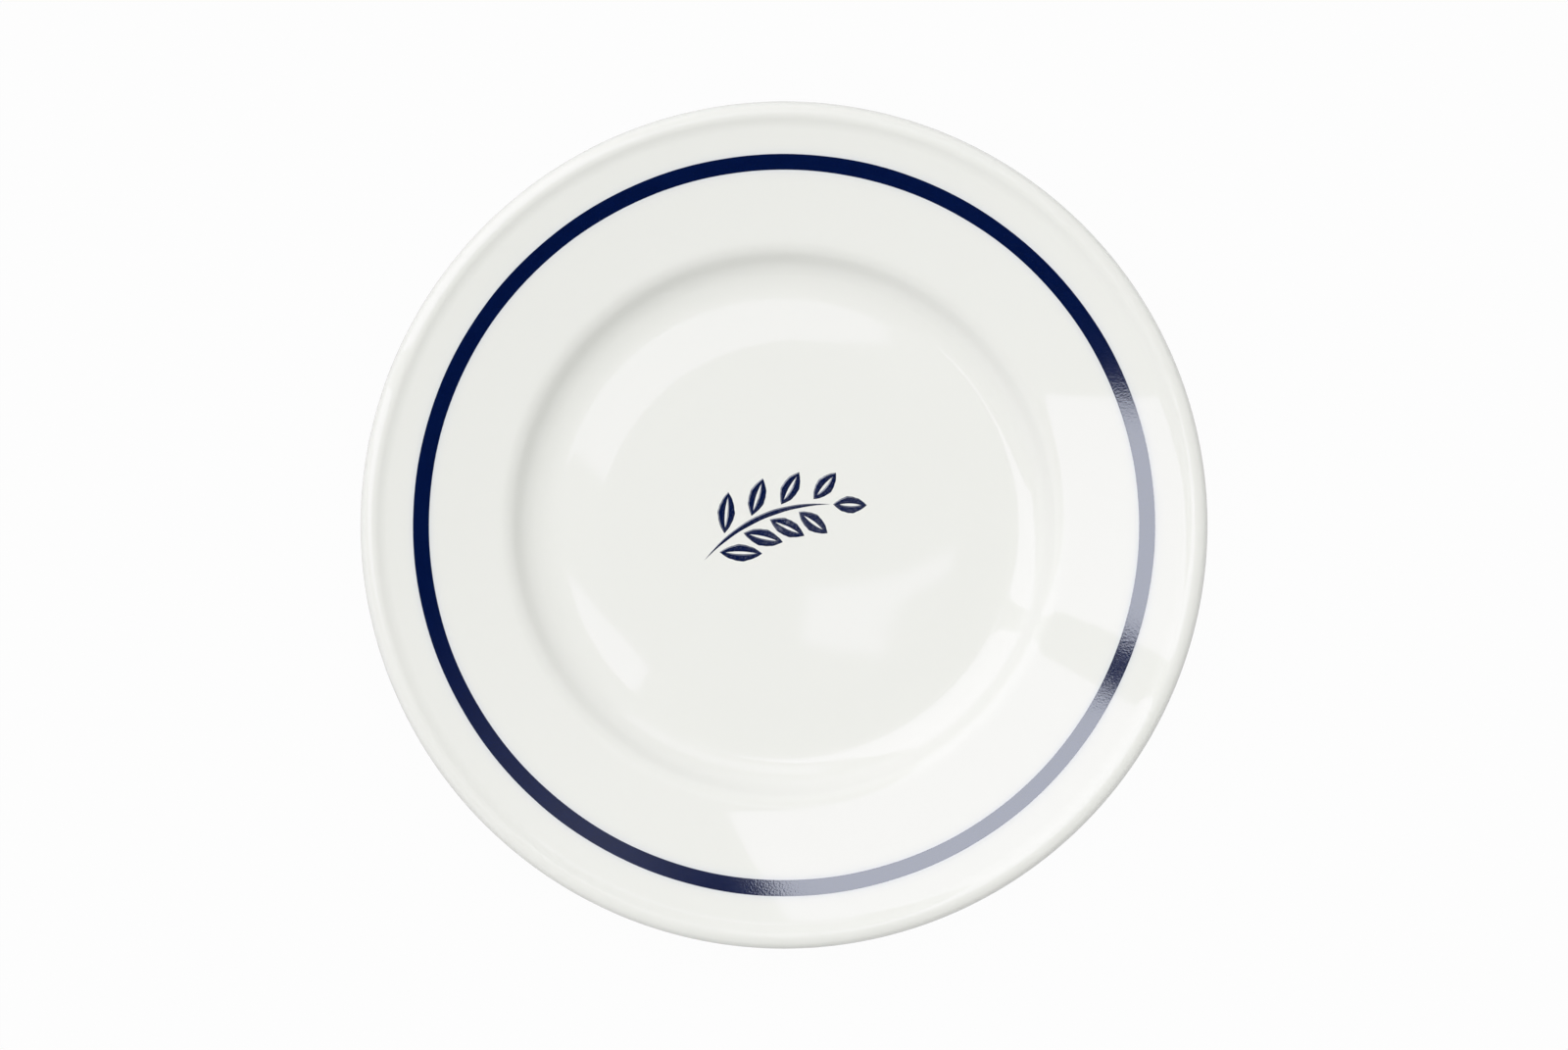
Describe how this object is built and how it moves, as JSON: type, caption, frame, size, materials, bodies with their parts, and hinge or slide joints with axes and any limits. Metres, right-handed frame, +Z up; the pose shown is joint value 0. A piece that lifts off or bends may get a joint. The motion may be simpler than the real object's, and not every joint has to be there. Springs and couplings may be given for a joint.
{
  "type": "bread plate",
  "caption": "Round porcelain bread plate with a shallow well, a sloping rim with a rolled edge, a painted cobalt band and sprig, and a bare foot ring to stand on.",
  "frame": {"origin": "on the table under the middle of the foot ring", "axes": "+Z up along the plate's axis, out of the well; +Y is the top of the sprig, and +X its right"},
  "size_m": [0.165, 0.165, 0.016],
  "materials": {
    "bisque": "matte",
    "glaze": "gloss",
    "cobalt": "gloss"
  },
  "bodies": {
    "root": {"porcelain_body": "bisque", "face_glaze": "glaze", "base_glaze": "glaze", "rim_band": "cobalt", "sprig_stem": "cobalt", "sprig_leaf_1": "cobalt", "sprig_leaf_2": "cobalt", "sprig_leaf_3": "cobalt", "sprig_leaf_4": "cobalt", "sprig_leaf_5": "cobalt", "sprig_leaf_6": "cobalt", "sprig_leaf_7": "cobalt", "sprig_leaf_8": "cobalt", "sprig_tip_leaf": "cobalt"}
  },
  "joints": []
}
